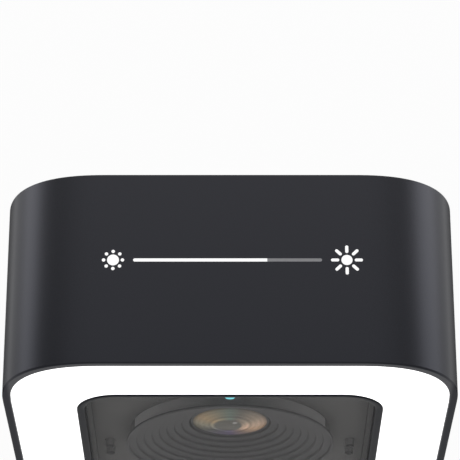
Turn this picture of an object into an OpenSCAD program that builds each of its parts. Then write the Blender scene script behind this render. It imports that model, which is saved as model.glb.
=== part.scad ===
// Video doorbell with a lit front panel, in millimetres.
// The wall is the plane y = 0, the front faces -Y and +Z is up.
// The origin is the centre of the cable hole in the wall bracket, on the wall.

/* [Housing] */
// Width of the housing
body_w = 120; // [116:1:160]
// Height of the housing
body_h = 250; // [250:1:330]
// Depth of the metal band, front to back
band_d = 53.6; // [53:0.2:70]
// Wall thickness of the metal band
band_t = 2; // [1.6:0.1:2.4]
// Size of the band's corner curve
corner_r = 28; // [24:0.5:32]
// Fullness of the corner curve, where 2 is a circle
corner_n = 2.5; // [2:0.1:2.8]
// Air gap between the band and the wall
wall_gap = 1.5; // [1:0.1:3]

/* [Front] */
// Light panel between the band and the camera panel, at the sides
side_gap = 19.2; // [18:0.2:22]
// Light panel between the band and the camera panel, at the ends
end_gap = 22.8; // [22:0.2:26]
// Corner radius of the camera panel
panel_r = 11; // [10:0.5:12]
// How far the front pieces lie behind the band's edge
face_recess = 0.5; // [0.3:0.1:1]
// Thickness of the light diffuser
diffuser_t = 2; // [1.5:0.1:2.2]
// Width of the camera panel's bezel
bezel_w = 2.1; // [1.8:0.1:2.6]
// Thickness of the smoked window
window_t = 1.8; // [1.4:0.1:2]

/* [Camera] */
// Lens axis below the top of the housing
lens_drop = 66.6; // [64:0.2:70]
// Outer radius of the stepped lens hood
hood_r = 28.8; // [27:0.1:30]
// Number of steps in the hood
hood_steps = 8; // [6:1:10]
// Radius of the lens head
lens_r = 11; // [10:0.2:12]
// Radius of the lens neck
neck_r = 6; // [5.5:0.1:6.5]
// Travel of the infrared filter shuttle
shuttle_travel = 8; // [7.5:0.5:10]

/* [Button] */
// Button axis above the bottom of the housing
button_rise = 60; // [56:1:70]
// Radius of the call button
button_r = 19; // [16:0.5:23]
// Travel of the call button
button_travel = 1.2; // [0.8:0.1:1.2]

/* [Brightness slider] */
// Slider behind the front edge
slider_f = 28.9; // [28.9:0.1:32]
// Length of the slider bar
bar_len = 49; // [40:1:54]
// Share of the bar that is lit
bar_lit = 0.71; // [0.2:0.01:0.9]
// Width of the slider bar
bar_w = 0.9; // [0.8:0.1:1.6]

/* [Wall mount] */
// Thickness of the wall bracket
bracket_t = 1.5; // [1.2:0.1:2]
// Radius of the cable hole in the bracket
cable_r = 12; // [8:0.5:14]
// Spacing of the wall screws, side to side
wall_screw_x = 40; // [36:1:44]
// Spacing of the wall screws, up and down
wall_screw_z = 140; // [120:1:160]
// Radius of the wall screw holes
wall_hole_r = 2.5; // [2:0.1:3]
// Height of the bracket's hooks
hook_h = 8; // [6:0.5:8]

/* [Hidden] */
$fn = 64;

// Clearances: between fixed neighbours, round running fits and moving neighbours
gap = 0.2;
fit = 0.05;
slack = 0.3;
pcb_t = 1.6;

// Signs at the slider's ends: how far each reaches from its middle, and where the middles lie
dim_reach = 2.9;
bright_reach = 4.15;
dot_r = 0.46;
ray_r = 0.42;
icon_gap = 2.3;
sun_x = (bar_len + dim_reach + bright_reach) / 2 + icon_gap;

// Overall planes. "f" below always means the distance behind the band's front edge.
z_top = body_h / 2;
front_y = -(wall_gap + band_d);
inner_w = body_w - 2 * band_t;
inner_h = body_h - 2 * band_t;

// Camera panel, as the outline of its bezel and of the window in it
panel_w = body_w - 2 * side_gap;
panel_h = body_h - 2 * end_gap;
window_w = panel_w - 2 * bezel_w;
window_h = panel_h - 2 * bezel_w;
window_r = panel_r - bezel_w;
bezel_f = face_recess - 0.4;
window_f = face_recess + 0.5;
window_back_f = window_f + window_t;
adhesive_t = 0.2;
ledge_f = window_back_f + adhesive_t;
ledge_t = 1.5;
ledge_w = 1.5;
shell_f = ledge_f + ledge_t;

// Light engine: diffuser, tray, board and chassis lie behind one another
tray_t = 1.2;
tray_f = face_recess + diffuser_t;
tray_depth = 16.2;
board_f = tray_f + tray_depth;
light_board_t = 1.6;
chassis_f = board_f + light_board_t;
chassis_t = 2;
rib_f = chassis_f + chassis_t;
rib_t = 2;
rib_w = 3;
led_size = 3;
led_t = 0.8;
led_pitch = 22;
led_hole_r = 2.6;

// Camera module
shell_t = 1.6;
shell_screw_r = 1.25;
shell_floor_t = 1.8;
shell_w = panel_w - 0.4;
shell_h = panel_h - 0.4;
shell_r = panel_r - 0.2;
floor_f = chassis_f - shell_floor_t;
lens_z = z_top - lens_drop;
hood_f = ledge_f;
hood_wall = 1.4;
hood_floor_f = hood_f + 9;
hood_rim_r = hood_r - 0.6;
step_r = (hood_rim_r - lens_r - 0.4) / hood_steps;
step_f = 6.4 / hood_steps;
lens_f = hood_f + 6.9;
lens_head_t = 5.6;
holder_r = neck_r + 3;
holder_t = 2;
neck_end_f = rib_f + 3;
mask_f = hood_f + 4.3;
mask_t = 1;
mask_drop = 42;
led_x = panel_w / 2 - 7;
led_drops = [7.3, 12.8];
led_f = mask_f - 2.1;
led_r = 1.2;
led_board_f = hood_f + 9;
small_board_t = 1.2;
status_r = 1.3;
status_z = z_top - end_gap - bezel_w;

// Infrared cut filter, behind the lens
pane = 6.6;
cut_f = neck_end_f + gap;
cut_w = 2 * (shuttle_travel * 1.5 + pane / 2 + 4);
cut_h = 16;
cut_t = 5.5;
channel_f = cut_f + 1.5;
channel_t = 1;
shuttle_t = channel_t - 0.2;
shuttle_h = 9;
sensor_board_f = cut_f + cut_t;
sensor_size = 7;
sensor_t = 0.8;

// Call button
button_z = -z_top + button_rise;
ring_in = button_r + slack;
ring_out = ring_in + 1.9;
ring_flange = ring_out + 2.6;
cap_f = face_recess - 0.1;
cap_t = 3;
carrier_f = cap_f + cap_t + button_travel + 0.1;
carrier_t = 1.5;
carrier_w = 2 * (ring_flange + 4.2);
carrier_leg = carrier_w / 2 - 4;
carrier_back_f = carrier_f + carrier_t;
cup_r = 9;
cup_depth = 3.5;
cup_floor_f = carrier_f + cup_depth;
stem_r = 4;
stem_end_f = cup_floor_f + 4.3;
clip_f = cup_floor_f + carrier_t + 0.1;
spring_r = 6.6;
spring_wire = 0.35;
spring_turns = 4;
button_board_f = floor_f - small_board_t;
plunger_gap = 0.05;

// Electronics behind the chassis
standoff = 3;
board_screw_r = 1;
pcb_f = rib_f + standoff;
parts_f = pcb_f + pcb_t;
main_w = 74;
main_h = 64;
main_z = lens_z - 50.4;
power_w = 86;
power_h = 50;
power_z = -z_top + 59;
chamber_w = 44;
chamber_f = rib_f + rib_t + gap;
chamber_depth = 13.2;
chamber_h = 21;
speaker_slots = 7;
reset_x = chamber_w / 2 + 8.5;
reset_f = rib_f + 8.2;
reset_r = 2;
reset_travel = 0.8;
reset_sink = 0.4;
reset_len = 6.6;
mic_x = -chamber_w / 2 - 7;

// Rear cover and its wiring pocket, measured from the wall
cover_y = -5.5;
cover_t = 2;
pocket_w = 74;
pocket_top = z_top - 13;
pocket_bottom = -z_top + 6;
pocket_wall = 1.8;
pocket_floor_y = -17.1;
boss_r = 5;
boss_x = body_w / 2 - 11;
boss_z = body_h / 2 - 11;
side_boss_x = body_w / 2 - 6;
screw_r = 1.5;
cover_screw_len = 7.5;
chassis_screw_len = 12;
gland_z = 10.5;
gland_r = 5;
lead_r = 1;
lead_x = 2.2;

// Wall bracket and its hooks
bracket_w = 56;
hook_z = pocket_top - 2 - hook_h - bracket_t;
lift = hook_h + 0.5;
tab_z = pocket_bottom + lift + 1;
hook_y = -9;
rail_y = hook_y + bracket_t + slack;
rail_d = 5;
rail_h = 5.5;
box_screw_z = 83.5;
box_hole_r = 2.25;
lock_y = -8.1;
lock_r = 2;

// ---------- Shapes ----------

// Points of a closed outline whose four corners are superellipse quarters
function fullness(v) = pow(v, 2 / corner_n);
function quarter(w, h, r, a) = [w / 2 - r + r * fullness(cos(a)), h / 2 - r + r * fullness(sin(a))];
function outline_points(w, h, r) = [
  for (q = [0 : 3], i = [0 : 12])
    let (a = i * 7.5, odd = q % 2, p = quarter(w, h, r, odd == 1 ? 90 - a : a))
    [q == 1 || q == 2 ? -p[0] : p[0], q > 1 ? -p[1] : p[1]]
];

module band_outline(inset) {
  polygon(outline_points(body_w - 2 * inset, body_h - 2 * inset, corner_r - inset));
}

module rounded(w, h, r) {
  square([w - 2 * r, h], center = true);
  square([w, h - 2 * r], center = true);
  for (x = [-1, 1], z = [-1, 1]) translate([x * (w / 2 - r), z * (h / 2 - r)]) circle(r);
}

// Sends a flat shape, drawn as x and z, from f back by t
module slab(f, t) {
  translate([0, front_y + f + t, 0]) rotate([90, 0, 0]) linear_extrude(t) children();
}

// A round peg that runs towards the wall
module peg(x, z, f, len, r) {
  translate([x, front_y + f, z]) rotate([-90, 0, 0]) cylinder(h = len, r = r);
}

// A solid of revolution about a line towards the wall, from [radius, f] points
module turned(x, z, points) {
  translate([x, front_y, z]) rotate([-90, 0, 0]) rotate_extrude() polygon(points);
}

// Ten steps of a circular arc that starts on the axis at f0 and ends at radius end_r;
// side is 1 where the arc falls away from the front and -1 where it rises to it
function arc_points(end_r, curve_r, f0, side) = [
  for (i = [0 : 10])
    let (r = end_r * i / 10)
    [r, f0 + side * (curve_r - sqrt(curve_r * curve_r - r * r))]
];

// A block centred on x and z
module block(x, z, f, size) {
  translate([x - size[0] / 2, front_y + f, z - size[2] / 2]) cube(size);
}

// Cross-slotted pan head screw: the head seats on the plane f from behind, the shank runs forward
module screw(x, z, f, len, r) {
  head_r = r * 1.85;
  head_t = r * 1.1;
  difference() {
    union() {
      peg(x, z, f - len, len, r);
      peg(x, z, f, head_t, head_r);
    }
    for (a = [0, 90])
      translate([x, front_y + f + head_t, z]) rotate([0, a, 0])
        cube([head_r * 1.2, head_t, 0.5], center = true);
  }
}

// ---------- Band and brightness slider ----------

// A bar with round ends along x
module stadium(x0, x1, r) {
  translate([x0 + r, -r]) square([x1 - x0 - 2 * r, 2 * r]);
  translate([x0 + r, 0]) circle(r);
  translate([x1 - r, 0]) circle(r);
}

module dim_sun(grow) {
  circle(1.55 + grow);
  for (a = [0 : 45 : 315]) rotate(a) translate([dim_reach - dot_r, 0]) circle(dot_r + grow);
}

module bright_sun(grow) {
  circle(1.45 + grow);
  for (a = [0 : 45 : 315]) rotate(a) stadium(2 - grow, bright_reach + grow, ray_r + grow);
}

bar_x0 = -sun_x + dim_reach + icon_gap;
bar_x1 = sun_x - bright_reach - icon_gap;
bar_split = bar_x0 + bar_len * bar_lit;

module on_top(z, t) {
  translate([0, front_y + slider_f, z]) linear_extrude(t) children();
}

module slider_cuts(grow) {
  stadium(bar_x0 - grow, bar_x1 + grow, bar_w / 2 + grow);
  translate([-sun_x, 0]) dim_sun(grow);
  translate([sun_x, 0]) bright_sun(grow);
}

module bosses(r, f, len) {
  for (x = [-1, 1], z = [-1, 1]) peg(x * boss_x, z * boss_z, f, len, r);
  for (x = [-1, 1]) peg(x * side_boss_x, 0, f, len, r);
}

cover_f = cover_y - front_y;

module outer_band() color([0.12, 0.125, 0.14])
  difference() {
    union() {
      slab(0, band_d) difference() {
        band_outline(0);
        band_outline(band_t);
      }
      slab(rib_f, rib_t) difference() {
        band_outline(band_t / 2);
        band_outline(band_t + rib_w);
      }
      intersection() {
        bosses(boss_r, rib_f, cover_f - rib_f);
        slab(rib_f, cover_f - rib_f) band_outline(band_t / 2);
      }
    }
    bosses(screw_r + fit, rib_f - 1, cover_f - rib_f + 2);
    on_top(z_top - band_t - 1, band_t + 2) slider_cuts(fit);
    speaker_grille();
    translate([0, lock_y, -z_top - 1]) cylinder(h = band_t + 2, r = lock_r + slack);
    translate([reset_x, front_y + reset_f, -z_top - 1])
      cylinder(h = band_t + 2, r = reset_r + slack / 2);
    translate([mic_x, front_y + reset_f, -z_top - 1]) cylinder(h = band_t + 2, r = 0.6);
  }

module speaker_grille() {
  for (i = [0 : speaker_slots - 1])
    translate([(i - (speaker_slots - 1) / 2) * 4, front_y + chamber_f + chamber_depth / 2, -z_top - 1])
      linear_extrude(band_t + 2) rotate(90) stadium(-4, 4, 0.7);
}

module slider_bar_lit() color("white")
  on_top(z_top - band_t, band_t) intersection() {
    stadium(bar_x0, bar_x1, bar_w / 2);
    translate([bar_x0, -bar_w]) square([bar_split - bar_x0, 2 * bar_w]);
  }

module slider_bar_unlit() color([0.5, 0.5, 0.52])
  on_top(z_top - band_t, band_t) intersection() {
    stadium(bar_x0, bar_x1, bar_w / 2);
    translate([bar_split, -bar_w]) square([bar_len, 2 * bar_w]);
  }

module dim_icon() color("white")
  on_top(z_top - band_t, band_t) translate([-sun_x, 0]) dim_sun(0);

module bright_icon() color("white")
  on_top(z_top - band_t, band_t) translate([sun_x, 0]) bright_sun(0);

guide_w = 2 * (sun_x + bright_reach + 0.5);
guide_t = 1.5;
guide_d = 8.8;

module slider_light_guide() color([0.9, 0.9, 0.9])
  on_top(z_top - band_t - gap - guide_t, guide_t) square([guide_w, guide_d], center = true);

module touch_board() color("darkgreen")
  on_top(z_top - band_t - gap - guide_t - small_board_t, small_board_t)
    square([guide_w, guide_d], center = true);

// ---------- Light panel ----------

module light_diffuser() color("white")
  slab(face_recess, diffuser_t) difference() {
    band_outline(band_t + gap);
    rounded(panel_w + gap, panel_h + gap, panel_r + gap / 2);
  }

// The spots of the light diodes, down both sides and across both ends
side_x = (inner_w + panel_w) / 4;
end_z = (inner_h + panel_h) / 4;
side_count = floor(panel_h / 2 / led_pitch);
end_count = floor((panel_w / 2 + led_pitch / 2) / led_pitch);
function led_spots() = [
  for (s = [-1, 1], i = [-side_count : side_count]) [s * side_x, i * led_pitch],
  for (s = [-1, 1], i = [0.5 - end_count : end_count - 0.5]) [i * led_pitch * 0.75, s * end_z]
];

module reflector_tray() color([0.95, 0.95, 0.95])
  difference() {
    slab(tray_f, tray_depth) difference() {
      band_outline(band_t + gap);
      rounded(panel_w + 0.6, panel_h + 0.6, panel_r + 0.3);
    }
    slab(tray_f - 1, tray_depth - tray_t + 1) difference() {
      band_outline(band_t + gap + tray_t);
      rounded(panel_w + 0.6 + 2 * tray_t, panel_h + 0.6 + 2 * tray_t, panel_r + 0.3 + tray_t);
    }
    for (p = led_spots()) peg(p[0], p[1], board_f - tray_t - 1, tray_t + 2, led_hole_r);
  }

module light_board() color([0.85, 0.86, 0.88])
  slab(board_f, light_board_t) difference() {
    band_outline(band_t + 2 * gap);
    rounded(panel_w + 1, panel_h + 1, panel_r + 0.5);
  }

module light_leds() color([1, 0.92, 0.6])
  for (p = led_spots()) block(p[0], p[1], board_f - led_t, [led_size, led_t, led_size]);

// ---------- Chassis ----------

// Where the two boards stand on the chassis
function board_spots(w, h, z) = [for (x = [-1, 1], s = [-1, 1]) [x * (w / 2 - 4), z + s * (h / 2 - 4)]];
standoffs = concat(board_spots(main_w, main_h, main_z), board_spots(power_w, power_h, power_z));
shell_spots = [
  for (x = [-1, 1], z = [7 - shell_h / 2, lens_z - mask_drop + 5, shell_h / 2 - 7])
    [x * (shell_w / 2 - 7), z]
];
holder_spots = [for (x = [-1, 1], z = [-1, 1]) [x * 14, lens_z + z * 10.5]];

module chassis_plate() color("silver")
  difference() {
    union() {
      slab(chassis_f, chassis_t) band_outline(band_t + gap);
      for (p = standoffs) peg(p[0], p[1], rib_f, standoff, 3);
    }
    slab(chassis_f - 1, chassis_t + 2) translate([0, lens_z]) circle(holder_r + 1);
    slab(chassis_f - 1, chassis_t + 2) translate([0, button_z]) square([16, 6], center = true);
    for (p = standoffs) peg(p[0], p[1], chassis_f - 1, standoff + chassis_t + 2, board_screw_r + fit);
    for (p = concat(shell_spots, holder_spots))
      peg(p[0], p[1], chassis_f - 1, chassis_t + 2, shell_screw_r + fit);
      for (x = [-1, 1], z = [-1, 1]) sunk_screw(x * boss_x, z * boss_z, fit);
  }

// Flat-headed screws that lie flush with the chassis, under the light board
module sunk_screw(x, z, grow) {
  turned(x, z, [
    [0, chassis_f], [screw_r * 2 + grow, chassis_f], [screw_r + grow, chassis_f + screw_r],
    [screw_r + grow, chassis_f + chassis_screw_len], [0, chassis_f + chassis_screw_len]
  ]);
}

module chassis_screws() color("dimgray")
  for (x = [-1, 1], z = [-1, 1]) sunk_screw(x * boss_x, z * boss_z, 0);

// ---------- Camera panel ----------

// Way for the status light's pipe through the window's ledge and its adhesive
module status_notch(f, t) {
  block(0, status_z - status_r / 2, f, [2 * (status_r + gap), t, status_r + 2 * gap]);
}

module camera_bezel() color([0.17, 0.175, 0.19])
  difference() {
    union() {
      slab(bezel_f, shell_f - bezel_f) difference() {
        rounded(panel_w, panel_h, panel_r);
        rounded(window_w, window_h, window_r);
      }
      slab(ledge_f, ledge_t) difference() {
        rounded(panel_w, panel_h, panel_r);
        rounded(window_w - 2 * ledge_w, window_h - 2 * ledge_w, window_r - ledge_w);
      }
    }
    status_notch(ledge_f - 0.1, ledge_t + 0.2);
  }

module front_window() color([0.2, 0.2, 0.2, 0.6])
  slab(window_f, window_t) difference() {
    rounded(window_w - 2 * fit, window_h - 2 * fit, window_r);
    translate([0, status_z]) circle(status_r + fit);
    translate([0, button_z]) circle(ring_out + fit);
  }

module window_adhesive() color("black")
  difference() {
    slab(window_back_f, adhesive_t) difference() {
      rounded(window_w - 0.4, window_h - 0.4, window_r);
      rounded(window_w - 2 * ledge_w, window_h - 2 * ledge_w, window_r - ledge_w);
    }
    status_notch(window_back_f - 1, adhesive_t + 2);
  }

// Half-round light pipe, flat side against the bezel, with its light board
module status_light() color([0.3, 0.85, 0.9]) {
  intersection() {
    peg(0, status_z, window_f, led_board_f - window_f, status_r);
    slab(window_f, led_board_f - window_f)
      translate([0, status_z - 10 - fit]) square([20, 20], center = true);
  }
  block(0, status_z - 4.5, led_board_f, [8, floor_f - led_board_f, 8.4]);
}

module module_shell() color([0.1, 0.1, 0.11])
  difference() {
    union() {
      difference() {
        slab(shell_f, chassis_f - shell_f) rounded(shell_w, shell_h, shell_r);
        slab(shell_f - 1, floor_f - shell_f + 1)
          rounded(shell_w - 2 * shell_t, shell_h - 2 * shell_t, shell_r - shell_t);
      }
      for (p = shell_spots) peg(p[0], p[1], mask_f + mask_t, floor_f - mask_f - mask_t + 1, 3);
      for (x = [-1, 1], z = [-1, 1])
        peg(x * carrier_leg, button_z + z * carrier_leg, carrier_back_f, floor_f - carrier_back_f + 1, 3);
    }
    slab(floor_f - 1, shell_floor_t + 2) translate([0, lens_z]) circle(holder_r + slack);
    slab(floor_f - 1, shell_floor_t + 2) translate([0, button_z]) square([16, 6], center = true);
    for (p = shell_spots) peg(p[0], p[1], floor_f - 4, shell_floor_t + 5, shell_screw_r + fit);
    for (p = holder_spots) peg(p[0], p[1], floor_f - 1, shell_floor_t + 2, shell_screw_r + fit);
  }

module module_screws() color("dimgray") {
  for (p = shell_spots) screw(p[0], p[1], rib_f, chassis_t + shell_floor_t + 2, shell_screw_r);
  for (p = holder_spots)
    screw(p[0], p[1], rib_f + holder_t, holder_t + chassis_t + shell_floor_t - 0.2, shell_screw_r);
}

module inner_mask() color([0.16, 0.16, 0.16])
  difference() {
    slab(mask_f, mask_t) intersection() {
      rounded(shell_w - 2 * shell_t - gap, shell_h - 2 * shell_t - gap, shell_r - shell_t);
      translate([-body_w / 2, lens_z - mask_drop]) square([body_w, body_h]);
    }
    slab(mask_f - 1, mask_t + 2) translate([0, lens_z]) circle(hood_rim_r - 0.6 + gap);
    slab(mask_f - 1, mask_t + 2) translate([0, status_z]) circle(status_r + gap);
    for (x = [-1, 1], d = led_drops) peg(x * led_x, lens_z - d, mask_f - 1, mask_t + 2, led_r + gap);
  }

// ---------- Camera ----------

// Steps that run from the hood's rim down to the lens, as [radius, f] points
function hood_step_points() = [
  for (i = [0 : hood_steps - 1])
    each [
      [hood_rim_r - i * step_r, hood_f + (i + 1) * step_f],
      [hood_rim_r - (i + 1) * step_r, hood_f + (i + 1) * step_f]
    ]
];
hood_wall_r = hood_rim_r - 0.6;
throat_r = lens_r + 0.4;

module lens_hood() color([0.14, 0.14, 0.145])
  turned(0, lens_z, concat(
    [[hood_wall_r, floor_f], [hood_wall_r, hood_f + 0.8], [hood_r, hood_f + 0.8], [hood_r, hood_f],
      [hood_rim_r, hood_f]],
    hood_step_points(),
    [[throat_r, hood_floor_f], [throat_r + 1.6, hood_floor_f],
      [hood_wall_r - hood_wall, hood_f + 3.5], [hood_wall_r - hood_wall, floor_f]]
  ));

glass_r = lens_r - 0.6;
glass_rise = 1.3;
dome_r = (glass_r * glass_r + glass_rise * glass_rise) / (2 * glass_rise);

module lens_barrel() color([0.07, 0.07, 0.08])
  turned(0, lens_z, [
    [glass_r + fit, lens_f], [lens_r, lens_f], [lens_r, lens_f + lens_head_t],
    [neck_r, lens_f + lens_head_t], [neck_r, neck_end_f], [neck_r - 1.4, neck_end_f],
    [neck_r - 1.4, lens_f + 5], [5, lens_f + 5], [5, lens_f + 2.6], [glass_r + fit, lens_f + 2.6]
  ]);

module lens_front_glass() color([0.35, 0.3, 0.3, 0.6])
  turned(0, lens_z, concat(
    arc_points(glass_r, dome_r, lens_f - glass_rise, 1),
    [[glass_r, lens_f + 2.6], [0, lens_f + 2.6]]
  ));

module lens_holder() color([0.12, 0.12, 0.12])
  difference() {
    union() {
      peg(0, lens_z, lens_f + lens_head_t + gap, cut_f - lens_f - lens_head_t - gap, holder_r);
      slab(rib_f, holder_t) translate([0, lens_z]) rounded(36, 26, 3);
    }
    peg(0, lens_z, 0, band_d, neck_r + fit);
    for (p = holder_spots) peg(p[0], p[1], rib_f - 1, 4, shell_screw_r + fit);
  }

// Travel stops and channel for the shuttle, with the coil that throws it
coil_x = cut_w / 2 - 3;
coil_len = 10.4;

module ir_cut_frame() color([0.2, 0.2, 0.22]) {
  difference() {
    slab(cut_f, cut_t) translate([0, lens_z]) square([cut_w, cut_h], center = true);
    peg(0, lens_z, cut_f - 1, cut_t + 2, 3);
    block(0, lens_z, channel_f, [channel_w, channel_t, shuttle_h + slack]);
    block(0, lens_z, sensor_board_f - sensor_t - 0.6, [sensor_size + 2, sensor_t + 2, sensor_size + 2]);
    block(coil_x, lens_z, cut_f + 2.4, [4.4, cut_t, coil_len]);
  }
  translate([coil_x, front_y + cut_f + 3.9, lens_z - coil_len / 2]) cylinder(h = coil_len, r = 1.4);
}

// At rest the infrared filter lies over the sensor and the clear pane waits beside it
shuttle_x = shuttle_travel / 2;
shuttle_reach = shuttle_travel / 2 + pane / 2 + 1;
channel_w = 2 * (shuttle_x + shuttle_reach + 0.2);

module ir_cut_shuttle() color([0.3, 0.3, 0.32])
  difference() {
    block(shuttle_x, lens_z, channel_f + 0.1, [2 * shuttle_reach, shuttle_t, shuttle_h]);
    for (x = [0, shuttle_travel]) block(x, lens_z, channel_f, [pane, channel_t, pane]);
  }

module ir_cut_panes() color([0.7, 0.3, 0.35, 0.5])
  for (x = [0, shuttle_travel]) block(x, lens_z, channel_f + 0.2, [pane, shuttle_t - 0.2, pane]);

module image_sensor() color([0.15, 0.2, 0.25])
  block(0, lens_z, sensor_board_f - sensor_t, [sensor_size, sensor_t, sensor_size]);

module sensor_board() color("darkgreen")
  block(0, lens_z, sensor_board_f, [cut_w, small_board_t, 32]);

module infrared_leds() color([0.1, 0.08, 0.1])
  for (x = [-1, 1], d = led_drops)
    turned(x * led_x, lens_z - d, [
      [0, led_f], [led_r - 0.2, led_f], [led_r, led_f + 0.2], [led_r, led_board_f],
      [0, led_board_f]
    ]);

led_board_z = lens_z - (led_drops[0] + led_drops[1]) / 2;
led_post = floor_f - led_board_f - small_board_t;

module infrared_boards() color("darkgreen")
  for (x = [-1, 1]) {
    block(x * led_x, led_board_z, led_board_f, [7.6, small_board_t, 18]);
    peg(x * led_x, led_board_z, led_board_f + small_board_t, led_post, 2.2);
  }

module motion_radar() color("darkgreen") {
  block(0, lens_z - mask_drop - 26, floor_f - 6, [26, small_board_t, 26]);
  block(0, lens_z - mask_drop - 26, floor_f - 6.8, [8, 0.8, 8]);
  for (x = [-1, 1], z = [-1, 1])
    peg(x * 10, lens_z - mask_drop - 26 + z * 10, floor_f - 6 + small_board_t, 6 - small_board_t, 1.8);
}

module wifi_antenna() color([0.7, 0.5, 0.25])
  block(0, lens_z - mask_drop - 6, floor_f - 0.6, [40, 0.6, 7]);

// ---------- Call button ----------

// The cap is dished and runs on a stem
dish_depth = 0.9;
dish_r = ((button_r - 2) * (button_r - 2) + dish_depth * dish_depth) / (2 * dish_depth);
icon_depth = 1.6;
groove = 0.5;
clip_t = 0.8;

module button_cap() color([0.1, 0.1, 0.105])
  difference() {
    turned(0, button_z, concat(
      arc_points(button_r - 2, dish_r, cap_f + dish_depth, -1),
      [[button_r - 0.5, cap_f], [button_r, cap_f + 0.5], [button_r, cap_f + cap_t],
        [stem_r, cap_f + cap_t], [stem_r, stem_end_f], [0, stem_end_f]]
    ));
    bell(cap_f - 1, icon_depth + 1, 0);
    turned(0, button_z, [
      [stem_r - groove, clip_f], [stem_r + 1, clip_f], [stem_r + 1, clip_f + clip_t],
      [stem_r - groove, clip_f + clip_t]
    ]);
  }

// A plain bell sign: dome, skirt, lip and clapper
module bell(f, t, shrink) {
  slab(f, t) translate([0, button_z]) {
    intersection() {
      translate([0, 0.6]) circle(4.4 - shrink);
      translate([-6, 0.6]) square(12);
    }
    translate([-4.4 + shrink, -3.2]) square([8.8 - 2 * shrink, 3.81]);
    stadium_at(-3.6, 5.9, 0.75 - shrink);
    translate([0, -5.6]) circle(1.15 - shrink);
    translate([0, 5.2]) circle(1 - shrink);
  }
}

module stadium_at(z, half, r) {
  translate([0, z]) stadium(-half, half, r);
}

module button_icon() color("white")
  bell(cap_f + dish_depth, icon_depth - dish_depth, fit);

module button_clip() color("silver")
  turned(0, button_z, [
    [stem_r - groove, clip_f], [stem_r + 1.8, clip_f], [stem_r + 1.8, clip_f + clip_t],
    [stem_r - groove, clip_f + clip_t]
  ]);

// One ring of the spring's wire at angle a along its helix
spring_len = cup_floor_f - cap_f - cap_t;
spring_sides = 6;
spring_rings = spring_turns * 16;
function spring_ring(i) =
  let (
    a = i * 360 * spring_turns / spring_rings,
    along = spring_wire + (spring_len - 2 * spring_wire) * i / spring_rings
  )
  [for (k = [0 : spring_sides - 1])
    let (b = k * 360 / spring_sides, r = spring_r + spring_wire * cos(b))
    [r * cos(a), cap_f + cap_t + along + spring_wire * sin(b), r * sin(a)]];

// Closed tube through rings that all have the same number of points
module tube(rings) {
  n = len(rings[0]);
  last = len(rings) - 1;
  polyhedron(
    points = [for (ring = rings) each ring],
    faces = concat(
      [[for (k = [0 : n - 1]) k]],
      [for (i = [0 : last - 1], k = [0 : n - 1])
        [i * n + k, (i + 1) * n + k, (i + 1) * n + (k + 1) % n, i * n + (k + 1) % n]],
      [[for (k = [n - 1 : -1 : 0]) last * n + k]]
    )
  );
}

module button_spring() color("silver")
  translate([0, front_y, button_z]) tube([for (i = [0 : spring_rings]) spring_ring(i)]);

module button_ring() color([0.75, 0.8, 0.82])
  turned(0, button_z, [
    [ring_in, face_recess + 0.2], [ring_out, face_recess + 0.2], [ring_out, ring_flange_f],
    [ring_flange, ring_flange_f], [ring_flange, carrier_f], [ring_in, carrier_f]
  ]);
gasket_t = 0.5;
ring_flange_f = window_back_f + gasket_t;

module button_gasket() color([0.05, 0.05, 0.05])
  turned(0, button_z, [
    [ring_out + 0.3, window_back_f], [ring_flange, window_back_f], [ring_flange, ring_flange_f],
    [ring_out + 0.3, ring_flange_f]
  ]);

module button_carrier() color([0.15, 0.15, 0.15])
  difference() {
    union() {
      slab(carrier_f, carrier_t) translate([0, button_z]) rounded(carrier_w, carrier_w, 4);
      peg(0, button_z, carrier_f, cup_depth + carrier_t, cup_r + 1.3);
    }
    peg(0, button_z, carrier_f - 1, cup_depth + 1, cup_r);
    peg(0, button_z, carrier_f, cup_depth + carrier_t + 1, stem_r + fit);
  }

module button_switch() color([0.25, 0.25, 0.27]) {
  top_f = stem_end_f + button_travel + plunger_gap;
  peg(0, button_z, top_f, 0.8, 1.7);
  block(0, button_z, top_f + 0.8, [6, button_board_f - top_f - 0.8, 6]);
}

module button_board() color("darkgreen")
  block(0, button_z, button_board_f, [34, small_board_t, 30]);

// ---------- Electronics ----------

module pcb(w, h, z) {
  difference() {
    block(0, z, pcb_f, [w, pcb_t, h]);
    for (p = board_spots(w, h, z)) peg(p[0], p[1], pcb_f - 1, pcb_t + 2, board_screw_r + fit);
  }
}

module main_board() color("darkgreen")
  pcb(main_w, main_h, main_z);

// [x, z from the board's middle, width, height, thickness] of what stands on the main board
main_parts = [
  [-12, 6, 15, 15, 1.4], [10, 8, 12, 10, 1.1], [12, -6, 9, 7, 1], [-14, -16, 22, 16, 2.4],
  [0, 27, 14, 4, 1.5], [26, -20, 8, 12, 4], [-28, 22, 7, 5, 2], [24, 16, 10, 6, 1.2], [8, -22, 6, 6, 3]
];

module main_chips() color([0.1, 0.1, 0.12])
  for (p = main_parts) block(p[0], main_z + p[1], parts_f, [p[2], p[4], p[3]]);

// Flat cable from the sensor board down to the main board's connector
flex_t = 0.4;
flex_bend = 0.2;
flex_from_f = sensor_board_f + small_board_t;
flex_to_f = parts_f + 1.5;
flex_to_z = main_z + main_h / 2 - 1.4;

module camera_flex() color([0.75, 0.45, 0.15])
  translate([-5, front_y, 0]) rotate([90, 0, 90]) linear_extrude(10) polygon([
    [flex_from_f, lens_z - 10], [flex_from_f, lens_z - 17 + flex_bend],
    [flex_to_f, flex_to_z + flex_bend], [flex_to_f, flex_to_z - 5],
    [flex_to_f + flex_t, flex_to_z - 5], [flex_to_f + flex_t, flex_to_z],
    [flex_from_f + flex_t, lens_z - 17], [flex_from_f + flex_t, lens_z - 10]
  ]);

module power_board() color([0.1, 0.25, 0.15])
  pcb(power_w, power_h, power_z);

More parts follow.
